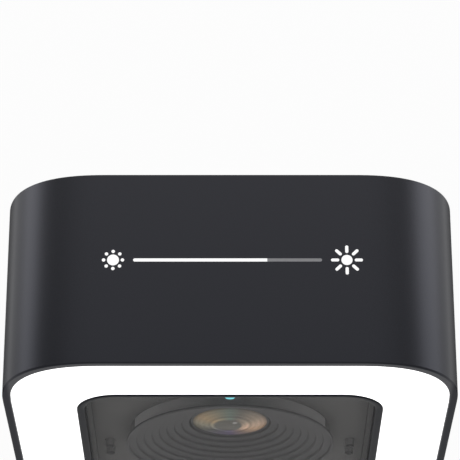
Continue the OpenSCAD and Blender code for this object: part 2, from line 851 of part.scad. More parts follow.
module power_parts() color([0.2, 0.2, 0.22]) {
  block(-20, power_z - 4, parts_f, [24, 9.4, 20]);
  block(-20, power_z - 4, parts_f + 9.4, [14, 0.6, 16]);
  for (z = [-1, 1])
    translate([6, front_y + parts_f + 5, power_z + z * 6 - 4])
      rotate([0, 90, 0]) cylinder(h = 22, r = 5);
  turned(36, power_z + 12, [[2.2, parts_f], [5.4, parts_f], [5.4, parts_f + 5], [2.2, parts_f + 5]]);
  block(0, lead_end_z - 4, parts_f, [16, 8, 8]);
}

module board_screws() color("dimgray")
  for (p = standoffs) screw(p[0], p[1], parts_f, standoff + pcb_t - 0.5, board_screw_r);

// Closed box that stands over the grille, with its open side down
chamber_z = -z_top + band_t;

module speaker_chamber() color([0.12, 0.12, 0.12])
  difference() {
    translate([-chamber_w / 2, front_y + chamber_f, chamber_z])
      cube([chamber_w, chamber_depth, chamber_h]);
    translate([-chamber_w / 2 + 1.2, front_y + chamber_f + 1.2, chamber_z - 1])
      cube([chamber_w - 2.4, chamber_depth - 2.4, chamber_h - 0.2]);
  }

// Frame, cone and magnet, facing down
module speaker_driver() color([0.3, 0.3, 0.3])
  translate([0, front_y + chamber_f + chamber_depth / 2, chamber_z]) {
    difference() {
      translate([0, 0, 0.5]) linear_extrude(1.2) rounded(chamber_w - 2.4, chamber_depth - 2.4, 3);
      translate([0, 0, 0]) linear_extrude(3) rounded(34, 8, 3.9);
    }
    translate([0, 0, 1.7]) linear_extrude(2.5) rounded(38, 9.6, 4.7);
    translate([0, 0, 4.2]) cylinder(h = 5, r = 4.6);
  }

module reset_key() color([0.2, 0.2, 0.2])
  translate([reset_x, front_y + reset_f, 0]) {
    translate([0, 0, -z_top + reset_sink]) cylinder(h = reset_len, r = reset_r);
    translate([0, 0, -z_top + band_t + slack]) cylinder(h = 1, r = reset_r + 1.2);
  }

// Switch and its board, which stands on the chassis
reset_top = -z_top + reset_sink + reset_len + reset_travel + plunger_gap;

module reset_switch() color([0.22, 0.22, 0.24]) {
  translate([reset_x, front_y + reset_f, reset_top]) cylinder(h = 0.6, r = 1.7);
  block(reset_x, reset_top + 2.35, reset_f - 3, [6, 6, 3.5]);
  block(reset_x, reset_top + 4.7, rib_f, [14, 13.7, 1.2]);
}

module microphone() color([0.08, 0.08, 0.08])
  translate([mic_x, front_y + reset_f, -z_top + band_t]) {
    difference() {
      cylinder(h = 3, r = 3.5);
      translate([0, 0, -1]) cylinder(h = 3, r = 0.6);
    }
    translate([-1.8, -1.4, 3]) cube([3.6, 2.8, 1]);
  }

// ---------- Rear cover and wiring ----------

pocket_h = pocket_top - pocket_bottom;
pocket_z = (pocket_top + pocket_bottom) / 2;
pocket_floor_f = pocket_floor_y - front_y;
pocket_back_f = pocket_floor_f + pocket_wall;

module rear_cover() color([0.13, 0.13, 0.14]) {
  difference() {
    union() {
      slab(cover_f, cover_t) band_outline(band_t + gap);
      slab(pocket_floor_f, cover_f + cover_t - pocket_floor_f) translate([0, pocket_z])
        rounded(pocket_w + 2 * pocket_wall, pocket_h + 2 * pocket_wall, 6);
    }
    slab(pocket_back_f, band_d) translate([0, pocket_z]) rounded(pocket_w, pocket_h, 6 - pocket_wall);
    bosses(screw_r + fit, cover_f - 1, cover_t + 2);
    peg(0, gland_z, pocket_floor_f - 1, pocket_wall + 2, gland_r);
    translate([0, lock_y, -z_top]) cylinder(h = 12, r = lock_r + slack);
  }
  // Rail that hangs on the bracket's hooks
  translate([-pocket_w / 2 - 0.5, rail_y, hook_z + bracket_t + 0.1])
    cube([pocket_w + 1, rail_d, rail_h]);
}

module rear_cover_screws() color("dimgray") {
  for (x = [-1, 1], z = [-1, 1])
    screw(x * boss_x, z * boss_z, cover_f + cover_t, cover_screw_len, screw_r);
  for (x = [-1, 1]) screw(x * side_boss_x, 0, cover_f + cover_t, cover_screw_len, screw_r);
}

seal_top = z_top - 4;
seal_bottom = -z_top + 2.7;
seal_in_top = pocket_top + 2;
seal_in_bottom = pocket_bottom - 0.3;

module wall_seal() color([0.12, 0.12, 0.12])
  slab(cover_f + cover_t, -cover_y - cover_t) difference() {
    translate([0, (seal_top + seal_bottom) / 2]) rounded(body_w - 28, seal_top - seal_bottom, 14);
    translate([0, (seal_in_top + seal_in_bottom) / 2])
      rounded(pocket_w + 6, seal_in_top - seal_in_bottom, 6);
  }

block_z = gland_z + 27.5;
block_t = 10;

module terminal_block() color([0.85, 0.85, 0.8]) {
  difference() {
    block(0, block_z, pocket_back_f, [34, block_t, 16]);
    for (x = [-1, 0, 1]) peg(x * 10, block_z, pocket_back_f + block_t - 3, 4, 2.4);
    for (x = [-1, 0, 1]) block(x * 10, block_z + 8, pocket_back_f + 2, [5, 4, 6]);
  }
  for (x = [-1, 0, 1]) difference() {
    peg(x * 10, block_z, pocket_back_f + block_t - 3, 1.8, 2.3);
    block(x * 10, block_z, pocket_back_f + block_t - 1.8, [5, 1, 0.6]);
  }
}

// Three leads run from the terminal block through the gland to the power board
lead_end_z = power_z + power_h / 2 - 5;
lead_far_f = pocket_back_f + 5.3;
lead_near_f = parts_f + 6.5;
function lead_route(x) = [
  [x * 10, block_z - 8, lead_far_f], [x * 9.2, block_z - 11, lead_far_f],
  [x * 5, block_z - 16, lead_far_f], [x * lead_x, block_z - 20, lead_far_f],
  [x * lead_x, gland_z + 4, lead_far_f - 0.9], [x * lead_x, gland_z + 1, pocket_back_f + 2],
  [x * lead_x, gland_z, pocket_back_f - 0.5], [x * lead_x, gland_z - 0.4, pocket_floor_f - 0.5],
  [x * lead_x, gland_z - 2, lead_near_f + 1.6], [x * lead_x, gland_z - 5, lead_near_f + 0.3],
  [x * lead_x, gland_z - 9, lead_near_f], [x * lead_x, lead_end_z + 8, lead_near_f],
  [x * lead_x, lead_end_z + 3, lead_near_f], [x * lead_x, lead_end_z, lead_near_f]
];
function unit(v) = v / norm(v);

// A ring of eight points round point i of a route, square to its direction
function lead_ring(route, i) =
  let (
    a = route[max(i - 1, 0)],
    b = route[min(i + 1, len(route) - 1)],
    flat = i == 0 || i == len(route) - 1,
    d = flat ? [0, -1, 0] : unit(b - a),
    side = unit(cross([1, 0, 0], d)),
    up = cross(d, side)
  )
  [for (k = [0 : 7]) route[i] + lead_r * (cos(k * 45) * side + sin(k * 45) * up)];

module supply_leads() color([0.5, 0.12, 0.1])
  for (x = [-1, 0, 1]) let (route = lead_route(x))
    translate([0, front_y, 0]) tube([
      for (i = [0 : len(route) - 1]) [for (p = lead_ring(route, i)) [p[0], p[2], p[1]]]
    ]);

// ---------- Wall bracket and lock ----------

module hook(x) {
  translate([x - 7, hook_y, hook_z]) cube([14, -hook_y, bracket_t]);
  translate([x - 7, hook_y, hook_z]) cube([14, bracket_t, bracket_t + hook_h]);
}

module wall_bracket() color([0.75, 0.76, 0.78])
  difference() {
    union() {
      translate([-bracket_w / 2, -bracket_t, tab_z])
        cube([bracket_w, bracket_t, hook_z + bracket_t - tab_z]);
      for (x = [-1, 1]) hook(x * 17);
      translate([-10, -13, tab_z]) cube([20, 13, bracket_t]);
    }
    translate([0, -bracket_t - 1, 0]) rotate([-90, 0, 0]) cylinder(h = bracket_t + 2, r = cable_r);
    for (x = [-1, 1], z = [-1, 1])
      translate([x * wall_screw_x / 2, -bracket_t - 1, z * wall_screw_z / 2])
        rotate([-90, 0, 0]) cylinder(h = bracket_t + 2, r = wall_hole_r);
    for (z = [-1, 1])
      translate([0, -bracket_t - 1, z * box_screw_z / 2])
        rotate([-90, 0, 0]) cylinder(h = bracket_t + 2, r = box_hole_r);
    translate([0, lock_y, tab_z - 1]) cylinder(h = bracket_t + 2, r = lock_r + fit);
  }

// Comes up through the band and the rear cover into the bracket's tab
module lock_screw() color("silver")
  translate([0, lock_y, -z_top]) difference() {
    union() {
      translate([0, 0, -2.4]) cylinder(h = 2.4, r = 3.6);
      cylinder(h = tab_z + z_top + 8, r = lock_r);
    }
    translate([0, 0, -3]) cylinder(h = 2.2, r = 1.45, $fn = 6);
  }

outer_band();
slider_bar_lit();
slider_bar_unlit();
dim_icon();
bright_icon();
slider_light_guide();
touch_board();
light_diffuser();
reflector_tray();
light_board();
light_leds();
chassis_plate();
chassis_screws();
camera_bezel();
front_window();
window_adhesive();
module_shell();
module_screws();
inner_mask();
lens_hood();
lens_barrel();
lens_front_glass();
lens_holder();
ir_cut_frame();
ir_cut_shuttle();
ir_cut_panes();
image_sensor();
sensor_board();
infrared_leds();
infrared_boards();
status_light();
motion_radar();
wifi_antenna();
button_cap();
button_icon();
button_clip();
button_spring();
button_ring();
button_gasket();
button_carrier();
button_switch();
button_board();
main_board();
main_chips();
camera_flex();
power_board();
power_parts();
board_screws();
speaker_chamber();
speaker_driver();
reset_key();
reset_switch();
microphone();
rear_cover();
rear_cover_screws();
wall_seal();
terminal_block();
supply_leads();
wall_bracket();
lock_screw();
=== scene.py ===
# Video doorbell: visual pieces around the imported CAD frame. Lengths in the shapes are millimetres.
import bpy
import bmesh
import numpy as np
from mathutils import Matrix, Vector


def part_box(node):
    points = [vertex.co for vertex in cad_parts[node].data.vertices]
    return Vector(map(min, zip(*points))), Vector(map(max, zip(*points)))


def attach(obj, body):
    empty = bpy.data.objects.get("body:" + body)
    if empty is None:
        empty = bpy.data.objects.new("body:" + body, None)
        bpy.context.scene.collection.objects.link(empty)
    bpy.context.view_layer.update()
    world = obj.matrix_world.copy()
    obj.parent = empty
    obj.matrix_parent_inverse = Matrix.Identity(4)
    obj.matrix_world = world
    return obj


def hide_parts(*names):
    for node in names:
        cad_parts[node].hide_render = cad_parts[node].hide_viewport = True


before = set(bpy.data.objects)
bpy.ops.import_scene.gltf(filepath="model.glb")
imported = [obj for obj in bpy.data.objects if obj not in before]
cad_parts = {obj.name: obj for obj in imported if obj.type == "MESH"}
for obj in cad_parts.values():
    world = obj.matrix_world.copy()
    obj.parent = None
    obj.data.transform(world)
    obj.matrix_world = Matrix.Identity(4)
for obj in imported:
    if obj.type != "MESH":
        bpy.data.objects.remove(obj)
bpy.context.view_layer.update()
scene = bpy.context.scene
scene.view_settings.view_transform = "Standard"

# ---- Camera ----
# Looks down at the top end of the unit from in front of it and above.
band_low, band_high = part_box("outer_band")
camera_data = bpy.data.cameras.new("camera")
camera_data.lens = 193.54
camera_data.sensor_width = 36
camera_data.clip_end = 200
camera = bpy.data.objects.new("camera", camera_data)
camera_ahead, camera_above, target_behind = 0.24144, 0.58129, 0.03751
camera.location = (0, band_low.y - camera_ahead, band_high.z + camera_above)
target = Vector((0, band_low.y + target_behind, band_high.z))
camera.rotation_euler = (target - camera.location).to_track_quat("-Z", "Y").to_euler()
scene.collection.objects.link(camera)
scene.camera = camera

# ---- Studio ----
# A pale floor under the unit, a pale sky and two softboxes, one on each side.
sharp_angle = np.radians(35)


def surface(name, points, wrap_rows=False, wrap_columns=False):
    """Makes a piece from a grid of points (rows, columns, 3) in millimetres: neighbours form quads,
    and a wrapped direction closes on itself. Points that meet are welded and faces turned outward."""
    rows, columns = points.shape[:2]
    index = np.arange(rows * columns).reshape(rows, columns)
    if wrap_rows:
        index = np.vstack([index, index[:1]])
    if wrap_columns:
        index = np.hstack([index, index[:, :1]])
    quads = np.stack([index[:-1, :-1], index[1:, :-1], index[1:, 1:], index[:-1, 1:]], axis=-1)
    mesh = bpy.data.meshes.new(name)
    mesh.from_pydata((points.reshape(-1, 3) / 1000).tolist(), [], quads.reshape(-1, 4).tolist())
    form = bmesh.new()
    form.from_mesh(mesh)
    bmesh.ops.remove_doubles(form, verts=form.verts, dist=1e-7)
    bmesh.ops.recalc_face_normals(form, faces=form.faces)
    form.to_mesh(mesh)
    form.free()
    mesh.shade_smooth()
    mesh.set_sharp_from_angle(angle=sharp_angle)
    piece = bpy.data.objects.new(name, mesh)
    scene.collection.objects.link(piece)
    return piece


def node_tree(name):
    """Starts a node material. Returns the material, its tree, its Principled shader and a maker of nodes."""
    material = bpy.data.materials.new(name)
    material.use_nodes = True
    tree = material.node_tree

    def add(kind, **inputs):
        node = tree.nodes.new("ShaderNode" + kind)
        for socket, value in inputs.items():
            socket = socket.replace("_", " ")
            if hasattr(value, "is_output"):
                tree.links.new(value, node.inputs[socket])
            else:
                node.inputs[socket].default_value = value
        return node

    return material, tree, tree.nodes["Principled BSDF"], add


def colour_stops(ramp, stops):
    """Gives a colour ramp its stops (position, colour) from the left. The outer two are the ramp's own."""
    own = ramp.color_ramp.elements
    own[0].position, own[1].position = stops[0][0], stops[-1][0]
    for position, _ in stops[1:-1]:
        own.new(position)
    for stop, (_, colour) in zip(own, stops):
        stop.color = (*colour, 1)


def reckon(kind, operation, *inputs, out=0):
    """Adds a math or vector-math node to the tree being built, with its inputs, which are sockets or
    values, and returns its output."""
    node = tree.nodes.new("ShaderNode" + kind)
    node.operation = operation
    for socket, value in zip(node.inputs, inputs):
        if hasattr(value, "is_output"):
            tree.links.new(value, socket)
        else:
            socket.default_value = value
    return node.outputs[out]


def layered(amount, under, over):
    """Lays one shader over another by the given amount, in the tree being built."""
    node = tree.nodes.new("ShaderNodeMixShader")
    for socket, value in zip(node.inputs, (amount, under, over)):
        tree.links.new(value, socket)
    return node.outputs[0]


floor_reach, floor_z = 30000, -140.0
edges = [-floor_reach, floor_reach]
floor = surface("floor", np.stack(np.meshgrid(edges, edges, [floor_z]), -1)[:, :, 0])
floor.data.flip_normals()
material, tree, shader, add = node_tree("floor_paint")
shader.inputs["Base Color"].default_value = (0.86, 0.86, 0.86, 1)
shader.inputs["Roughness"].default_value = 0.9
path = add("LightPath")
seen = reckon("Math", "MAXIMUM", path.outputs["Is Camera Ray"], path.outputs["Is Glossy Ray"])
seen = reckon("Math", "MAXIMUM", seen, path.outputs["Is Transmission Ray"])
share = reckon("Math", "MULTIPLY", seen, 0.93)
glow = add("Emission", Color=(1, 1, 1, 1), Strength=1.0)
painted = layered(share, shader.outputs[0], glow.outputs[0])
# Seen from below the floor is clear, so that the underside can be looked at.
side = add("NewGeometry")
clear = add("BsdfTransparent")
floor_look = layered(side.outputs["Backfacing"], painted, clear.outputs[0])
tree.links.new(floor_look, tree.nodes["Material Output"].inputs["Surface"])
floor.data.materials.append(material)

# The sky is palest overhead and at the horizon, and greyer in between.
world = bpy.data.worlds.new("studio")
world.use_nodes = True
scene.world = world
tree = world.node_tree
coordinate = tree.nodes.new("ShaderNodeTexCoord")
split = tree.nodes.new("ShaderNodeSeparateXYZ")
ramp = tree.nodes.new("ShaderNodeValToRGB")
tree.links.new(coordinate.outputs["Generated"], split.inputs[0])
tree.links.new(split.outputs["Z"], ramp.inputs["Fac"])
colour_stops(ramp, [(position, (grey, grey, grey * 1.01))
                    for position, grey in [(0.0, 0.7), (0.12, 0.5), (0.74, 0.5), (0.88, 1.02)]])
tree.links.new(ramp.outputs["Color"], tree.nodes["Background"].inputs["Color"])

softbox_width, softbox_out, softbox_behind, softbox_level = 1.1, 1.33, 0.68, 1.8
softbox_target = Vector((0, 0, 0.12))
for side, height, tall in [(-1, 0.14, 0.8), (1, 0.24, 1.0)]:
    lamp_data = bpy.data.lights.new("softbox", "AREA")
    lamp_data.shape = "RECTANGLE"
    lamp_data.size = softbox_width
    lamp_data.size_y = tall
    lamp_data.energy = 4 * softbox_width * tall * softbox_level
    lamp = bpy.data.objects.new("softbox", lamp_data)
    lamp.location = (side * softbox_out, band_low.y + softbox_behind, height)
    lamp.rotation_euler = (softbox_target - lamp.location).to_track_quat("-Z", "Y").to_euler()
    lamp.visible_camera = False
    scene.collection.objects.link(lamp)

# ---- Band ----
# One bent aluminium band with a matt bead-blasted anodised skin. It carries the whole unit: the chassis
# and the rear cover are screwed to its inner rib and bosses.
front = band_low.y * 1000
width, height = (band_high.x - band_low.x) * 1000, (band_high.z - band_low.z) * 1000
depth = (band_high.y - band_low.y) * 1000
corner_radius, corner_power = 28, 2.5


def outline(across, up, radius, power, steps=33):
    """Closed outline (x, z) from the right side anticlockwise: four corner quarters with
    x = r cos(a)^(2/n) and z = r sin(a)^(2/n) about their centres, joined by straight sides."""
    angle = np.linspace(0, np.pi / 2, steps)
    quarter = radius * np.column_stack([np.cos(angle), np.sin(angle)]).clip(0, 1) ** (2 / power)
    quarter += (across / 2 - radius, up / 2 - radius)
    turned = quarter[::-1]
    return np.vstack([quarter, turned * (-1, 1), -quarter, turned * (1, -1)])


def softened(corners, radius, steps=5):
    """Rounds each corner of an open line of points by a parabola p(t) = (1-t)^2 a + 2t(1-t) b + t^2 c,
    where b is the corner and a and c lie one radius, or half a side, before and after it. The radius is
    one number, or one for each inner corner."""
    corners = np.asarray(corners, float)
    radius = np.reshape(radius, (-1, 1))
    before, corner, after = corners[:-2], corners[1:-1], corners[2:]
    back, ahead = before - corner, after - corner
    back_length = np.linalg.norm(back, axis=1, keepdims=True)
    ahead_length = np.linalg.norm(ahead, axis=1, keepdims=True)
    start = corner + back * np.minimum(radius / back_length, 0.48)
    end = corner + ahead * np.minimum(radius / ahead_length, 0.48)
    t = np.linspace(0, 1, steps)[None, :, None]
    arcs = (1 - t) ** 2 * start[:, None] + 2 * t * (1 - t) * corner[:, None] + t ** 2 * end[:, None]
    return np.vstack([corners[:1], arcs.reshape(-1, 2), corners[-1:]])


def carried(name, profile, across, up, radius, power):
    """Carries a closed profile of (inset, distance behind the front edge) round an outline: each row is
    the outline moved inward by the inset."""
    rows = [outline(across - 2 * inset, up - 2 * inset, radius - inset, power) for inset, _ in profile]
    flat = np.stack(rows)
    behind = np.broadcast_to(front + profile[:, 1][:, None], flat.shape[:2])
    return surface(name, np.stack([flat[..., 0], behind, flat[..., 1]], -1), True, True)


def pill_cutter(x, y, low, high, half_length, radius):
    """Upright prism over a pill-shaped outline along Y: half circles of the radius, half_length apart."""
    angle = np.linspace(0, 2 * np.pi, 32, endpoint=False)
    ring = np.column_stack([x + radius * np.cos(angle),
                            y + radius * np.sin(angle) + half_length * np.sign(np.sin(angle + 1e-6))])
    levels = np.array([low, low, high, high])
    size = np.array([0, 1, 1, 0])[:, None, None]
    rows = (x, y) + (ring - (x, y)) * size
    points = np.concatenate([rows, np.broadcast_to(levels[:, None, None], (4, 32, 1))], -1)
    return surface("cutter", points, False, True)


def cut(piece, cutters):
    """Cuts the cutters out of the piece and sets its sharp edges again."""
    for cutter in cutters:
        modifier = piece.modifiers.new("cut", "BOOLEAN")
        modifier.operation = "DIFFERENCE"
        modifier.solver = "EXACT"
        modifier.object = cutter
    bpy.context.view_layer.update()
    evaluated = piece.evaluated_get(bpy.context.evaluated_depsgraph_get())
    mesh = bpy.data.meshes.new_from_object(evaluated)
    piece.modifiers.clear()
    piece.data = mesh
    mesh.shade_smooth()
    mesh.set_sharp_from_angle(angle=sharp_angle)
    for cutter in cutters:
        bpy.data.objects.remove(cutter)


def raised_copy(node, low, high):
    """A copy of a CAD node's mesh with its lower and upper faces moved to the given heights."""
    form = bmesh.new()
    form.from_mesh(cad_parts[node].data)
    bmesh.ops.remove_doubles(form, verts=form.verts, dist=1e-7)
    mesh = bpy.data.meshes.new("cutter")
    form.to_mesh(mesh)
    form.free()
    corners = np.empty(3 * len(mesh.vertices), np.float32)
    mesh.vertices.foreach_get("co", corners)
    heights = corners[2::3]
    middle = sum(corner.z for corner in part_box(node)) / 2
    heights[:] = np.where(heights < middle, low / 1000, high / 1000)
    mesh.vertices.foreach_set("co", corners)
    mesh.update()
    copy = bpy.data.objects.new("cutter", mesh)
    scene.collection.objects.link(copy)
    return copy


def matt(name, dark, light, rough, grain=900.0, bump=0.0, **sockets):
    """Fine noise in Object coordinates mixes two close colours, shifts the roughness by a tenth either way
    and raises a bump of the given height in metres. The other values go on the shader's own sockets."""
    material, tree, shader, add = node_tree(name)
    spot = add("TexCoord")
    noise = add("TexNoise", Scale=grain, Detail=3.0, Vector=spot.outputs["Object"])
    ramp = add("ValToRGB", Fac=noise.outputs["Fac"])
    colour_stops(ramp, [(0.35, dark), (0.65, light)])
    tree.links.new(ramp.outputs["Color"], shader.inputs["Base Color"])
    polish = add("MapRange", Value=noise.outputs["Fac"], From_Min=0.3, From_Max=0.7,
                 To_Min=rough * 0.9, To_Max=min(rough * 1.1, 1.0))
    tree.links.new(polish.outputs["Result"], shader.inputs["Roughness"])
    if bump:
        relief = add("Bump", Height=noise.outputs["Fac"], Distance=bump, Strength=1.0)
        tree.links.new(relief.outputs["Normal"], shader.inputs["Normal"])
    for socket, value in sockets.items():
        shader.inputs[socket.replace("_", " ")].default_value = value
    return material


def spread(value, low, high, start=0.0, end=1.0):
    """Adds a map-range node to the tree being built, which takes low..high to start..end."""
    node = tree.nodes.new("ShaderNodeMapRange")
    tree.links.new(value, node.inputs["Value"])
    for socket, number in zip(("From Min", "From Max", "To Min", "To Max"), (low, high, start, end)):
        node.inputs[socket].default_value = number
    return node.outputs["Result"]


def blended(factor, first, second, kind="MIX"):
    """Adds a colour mix to the tree being built. The first and second are sockets or colours."""
    node = tree.nodes.new("ShaderNodeMix")
    node.data_type = "RGBA"
    node.blend_type = kind
    for socket, value in ((node.inputs[0], factor), (node.inputs[6], first), (node.inputs[7], second)):
        if hasattr(value, "is_output"):
            tree.links.new(value, socket)
        else:
            socket.default_value = value
    return node.outputs[2]


def dress(material, *nodes):
    """Puts the material on every slot of the CAD nodes."""
    for node in nodes:
        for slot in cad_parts[node].material_slots:
            slot.material = material


def place(piece, body, slot, material, *nodes):
    """Gives a new piece its material, the body it rides on and the CAD nodes it replaces. The slot argument
    is not used.
    """
    piece.data.materials.clear()
    piece.data.materials.append(material)
    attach(piece, body)
    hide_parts(*nodes)


profile = softened([(0, depth - 0.6), (0, depth * 0.5), (0, 0.43), (0.28, 0), (1, 0), (2.12, 0), (2.12, 2),
                    (2, depth), (0, depth)], [0.3, 0.12, 0.12, 0.3, 0.12, 0.3, 0.3])
band = carried("band", profile, width, height, corner_radius, corner_power)
low, high = band_low.z * 1000, band_high.z * 1000
key_low, key_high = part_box("reset_key")
lock_low, lock_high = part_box("lock_screw")
key_x, key_y = [500 * (key_low[i] + key_high[i]) for i in (0, 1)]
lock_y = 500 * (lock_low.y + lock_high.y)
# The inlays' seats run right through the top. The underside has holes for the lock screw, the reset key and
# the microphone, and a row of slots for the speaker.
lock_hole, key_hole, mic_hole, mic_x = 2.3, 2.15, 0.6, -29
slot_pitch, slot_behind, slot_half, slot_radius = 4, 31.1, 3.3, 0.7
cutters = [raised_copy(node, high - 4, high + 2)
           for node in ("slider_bar_lit", "slider_bar_unlit", "dim_icon", "bright_icon")]
cutters += [pill_cutter(0, lock_y, low - 2, low + 4, 0, lock_hole),
            pill_cutter(key_x, key_y, low - 2, low + 4, 0, key_hole),
            pill_cutter(mic_x, key_y, low - 2, low + 4, 0, mic_hole)]
cutters += [pill_cutter(slot_pitch * i, front + slot_behind, low - 2, low + 4, slot_half, slot_radius)
            for i in range(-3, 4)]
cut(band, cutters)
anodised = matt("anodised", (0.030, 0.031, 0.036), (0.034, 0.035, 0.041), 0.38, 4000, 0.00001, Metallic=1.0)
tree = anodised.node_tree
shader = tree.nodes["Principled BSDF"]
# The colour is a little lighter towards the back. As painted shade, the flanks reflect less than the top at
# glancing angles, and their front lip lies between the two.
axes = tree.nodes.new("ShaderNodeSeparateXYZ")
tree.links.new(tree.nodes["Texture Coordinate"].outputs["Object"], axes.inputs[0])
base = shader.inputs["Base Color"].links[0].from_socket
lighter = (1.38, 1.36, 1.33, 1)
toned = blended(spread(axes.outputs["Y"], band_low.y, band_high.y), base, lighter, "MULTIPLY")
tree.links.new(toned, shader.inputs["Base Color"])
flank = reckon("Math", "ABSOLUTE", axes.outputs["X"])
skin = spread(flank, 0.0572, 0.0598, 0.95, 0.12)
lip = reckon("Math", "LESS_THAN", axes.outputs["Y"], band_low.y + 0.0001)
skin = reckon("Math", "MAXIMUM", skin, reckon("Math", "MULTIPLY", lip, 0.58))
tree.links.new(skin, shader.inputs["Specular Tint"])
place(band, "housing", "anodised_body", anodised, "outer_band")

# The rib and the bosses inside the band that the chassis and the rear cover are screwed to.
profile = softened([(1.6, 22.6), (1.6, 22.3), (5, 22.3), (5, 24.3), (1.6, 24.3), (1.6, 22.6)], 0.3)
rib = carried("band_rib", profile, width, height, corner_radius, corner_power)


def lathe(name, profile, x, z, wrap=True, segments=96):
    """Turns a profile of (radius, distance behind the front edge) about a line towards the wall:
    x + r cos(a), z + r sin(a)."""
    angle = np.linspace(0, 2 * np.pi, segments, endpoint=False)
    profile = np.asarray(profile, float)
    radius, behind = profile[:, :1], profile[:, 1:]
    across, up = x + radius * np.cos(angle), z + radius * np.sin(angle)
    points = np.stack([across, front + behind + 0 * angle, up], -1)
    return surface(name, points, wrap, True)


def joined(name, pieces):
    """Joins pieces into the first one."""
    form = bmesh.new()
    for piece in pieces:
        form.from_mesh(piece.data)
    form.to_mesh(pieces[0].data)
    form.free()
    for piece in pieces[1:]:
        bpy.data.objects.remove(piece)
    pieces[0].name = name
    pieces[0].data.shade_smooth()
    pieces[0].data.set_sharp_from_angle(angle=sharp_angle)
    return pieces[0]


post = softened([(5, 30), (5, 22.3), (1.55, 22.3), (1.55, 49.6), (5, 49.6), (5, 30)], 0.3)
boss_x, boss_z, side_boss_x = 49, 114, 54
spots = [(x * boss_x, z * boss_z) for x in (-1, 1) for z in (-1, 1)] + [(-side_boss_x, 0), (side_boss_x, 0)]
bosses = joined("band_bosses", [rib] + [lathe("post", post, x, z, segments=32) for x, z in spots])
place(bosses, "housing", "anodised_body", anodised, "outer_band")

# ---- Brightness slider ----
# Clear plastic inlays set flush in the top of the band, lit from below through a light guide. A touch
# electrode on a board lies under the guide.
lit = matt("lit_sign", (0.07, 0.07, 0.07), (0.09, 0.09, 0.09), 0.4,
           Emission_Color=(1, 1, 1, 1), Emission_Strength=0.93)
dress(lit, "slider_bar_lit", "dim_icon", "bright_icon")
dress(matt("unlit_sign", (0.25, 0.25, 0.26), (0.27, 0.27, 0.28), 0.45), "slider_bar_unlit")
dress(matt("clear_guide", (0.8, 0.82, 0.84), (0.86, 0.87, 0.88), 0.15), "slider_light_guide")

# ---- Light panel ----
# An opal acrylic diffuser fills the front between the band and the camera panel. A white tray and a ring
# of diodes on a white board lie behind it and light it, in front of the metal chassis plate.
dress(matt("opal", (0.9, 0.9, 0.9), (0.93, 0.93, 0.93), 0.5, 60,
           Emission_Color=(1, 1, 1, 1), Emission_Strength=1.2), "light_diffuser")
dress(matt("white_plastic", (0.78, 0.78, 0.77), (0.82, 0.82, 0.81), 0.5), "reflector_tray")
dress(matt("white_board", (0.7, 0.71, 0.7), (0.76, 0.76, 0.75), 0.45), "light_board")
dress(matt("light_diode", (0.85, 0.8, 0.5), (0.9, 0.86, 0.6), 0.3, 1500), "light_leds")

# ---- Bezel ----
# Moulded frame of the camera panel in satin black plastic, screwed to the module's shell. Its rounded
# front stands just proud of the diffuser.
panel_low, panel_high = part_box("camera_bezel")
panel_w, panel_h = (panel_high.x - panel_low.x) * 1000, (panel_high.z - panel_low.z) * 1000
profile = softened([(0, 3), (0, 1.3), (0, 0.25), (0.6, 0.16), (1.6, 0.3), (2.1, 0.55), (2.1, 1.2), (2.1, 3.0),
                    (3.6, 3.0), (3.6, 4.5), (0, 4.5), (0, 3)], 0.22)
bezel = carried("bezel", profile, panel_w, panel_h, 11, 2)
pipe_low, pipe_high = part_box("status_light")
# A notch behind the top edge takes the status light's pipe.
notch_size = np.array([0, 1, 1, 0])[:, None]
notch_x, notch_z = np.array([-2, 2, 2, -2]), np.array([-2.9, -2.9, 2.9, 2.9])
notch_behind = np.array([2.8, 2.8, 5, 5])[:, None]
notch = surface("cutter", np.stack([notch_size * notch_x, front + notch_behind + 0 * notch_x,
                                    pipe_high.z * 1000 - 3 + notch_size * notch_z], -1), False, True)
cut(bezel, [notch])
bezel_paint = matt("bezel_black", (0.007, 0.008, 0.011), (0.009, 0.01, 0.014), 0.33, 2500, 0.00001, IOR=1.12)
place(bezel, "housing", "bezel_black", bezel_paint, "camera_bezel")

# ---- Smoked window ----
# Flat tinted acrylic, glued behind the bezel's front edge. It dims what lies behind it. Its front face has
# a weak gloss and a thin even pale layer, which is painted reflection: it stands for the reflection of a pale
# room.
material, tree, shader, add = node_tree("smoked_glass")
tree.nodes.remove(shader)
geometry = add("NewGeometry")
fresnel = add("Fresnel", IOR=1.03)
outside = reckon("Math", "SUBTRACT", 1, geometry.outputs["Backfacing"])
amount = reckon("Math", "MULTIPLY", fresnel.outputs[0], outside)
spot = add("TexCoord")
cloud = add("TexNoise", Scale=40.0, Vector=spot.outputs["Object"])
haze = add("MapRange", Value=cloud.outputs["Fac"], To_Min=0.14, To_Max=0.2)
clear = add("BsdfTransparent", Color=(0.87, 0.865, 0.86, 1))
gloss = add("BsdfGlossy", Color=(1, 1, 1, 1), Roughness=haze.outputs["Result"])
# A thin pale diffuse layer over the front face is a painted reflection of a pale room.
veil = reckon("Math", "MULTIPLY", outside, 0.062)
painted_room_reflection = add("BsdfDiffuse", Color=(0.9, 0.9, 0.9, 1))
clear_with_painted_reflection = layered(veil, clear.outputs[0], painted_room_reflection.outputs[0])
window_look = layered(amount, clear_with_painted_reflection, gloss.outputs[0])
tree.links.new(window_look, tree.nodes["Material Output"].inputs["Surface"])
dress(material, "front_window")
rubber = matt("rubber_black", (0.02, 0.02, 0.02), (0.03, 0.03, 0.03), 0.7, 1500, 0.00002)
dress(rubber, "window_adhesive", "button_gasket")

